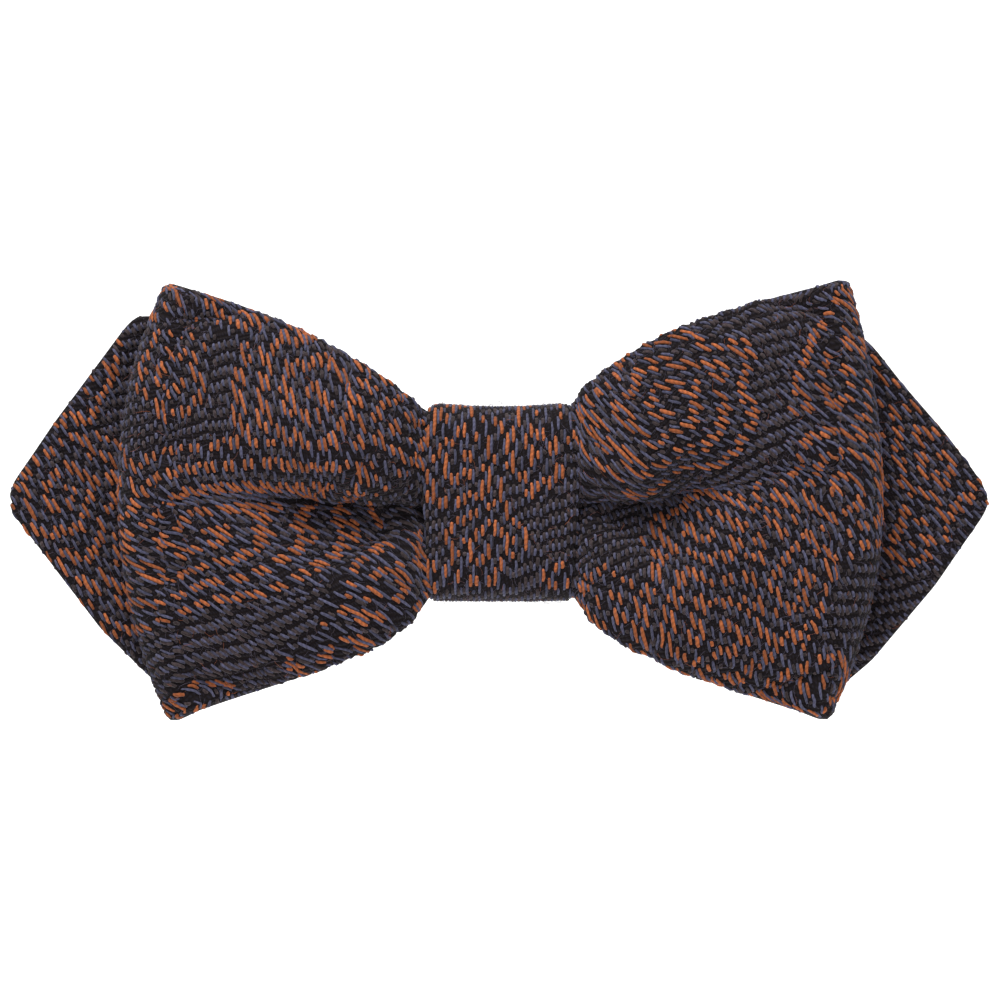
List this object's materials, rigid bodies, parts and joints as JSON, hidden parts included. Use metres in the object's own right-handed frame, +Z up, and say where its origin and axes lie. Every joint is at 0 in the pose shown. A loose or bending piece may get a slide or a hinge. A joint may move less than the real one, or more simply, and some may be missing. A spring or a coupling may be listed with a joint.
{
  "type": "bow tie",
  "caption": "Ready-tied diamond-point bow tie in figured jacquard cloth, with a pleated front loop, a pointed back bow, a wrapped knot and a sprung collar clip behind.",
  "frame": {"origin": "middle of the clip base's rear face, where the collar's edge is gripped", "axes": "+Z up as worn, +X along the bow towards the right wing as seen from the front, +Y towards the wearer"},
  "size_m": [0.1206, 0.0222, 0.054],
  "materials": {
    "jacquard_cloth": "figured wool jacquard, matt",
    "canvas": "unbleached canvas",
    "sewing_thread": "waxed",
    "nickel_plate": "bright nickel plate on steel",
    "spring_steel": "drawn wire"
  },
  "bodies": {
    "bow": {"front_loop_shell": "jacquard_cloth", "front_loop_interlining": "canvas", "back_blade_face": "jacquard_cloth", "back_blade_lining": "jacquard_cloth", "back_blade_interlining": "canvas", "knot_band": "jacquard_cloth", "knot_interlining": "canvas", "waist_binding_thread": "sewing_thread", "knot_back_stitches": "sewing_thread", "clip_base": "nickel_plate", "hinge_pin_left": "nickel_plate", "hinge_pin_right": "nickel_plate", "torsion_spring_left": "spring_steel", "torsion_spring_right": "spring_steel"},
    "lever_left": {"clip_lever_left": "nickel_plate"},
    "lever_right": {"clip_lever_right": "nickel_plate"}
  },
  "joints": [
    {"name": "lever_left_hinge", "type": "hinge", "parent": "bow", "child": "lever_left", "pos_m": [-0.0155, 0.0022, 0], "axis": [0, 0, -1], "range_deg": [0, 35], "stiffness_Nm_per_rad": 0.03, "springref_deg": -57.3, "deforming": ["torsion_spring_left"]},
    {"name": "lever_right_hinge", "type": "hinge", "parent": "bow", "child": "lever_right", "pos_m": [0.0155, 0.0022, 0], "axis": [0, 0, 1], "range_deg": [0, 35], "stiffness_Nm_per_rad": 0.03, "springref_deg": -57.3, "deforming": ["torsion_spring_right"]}
  ]
}
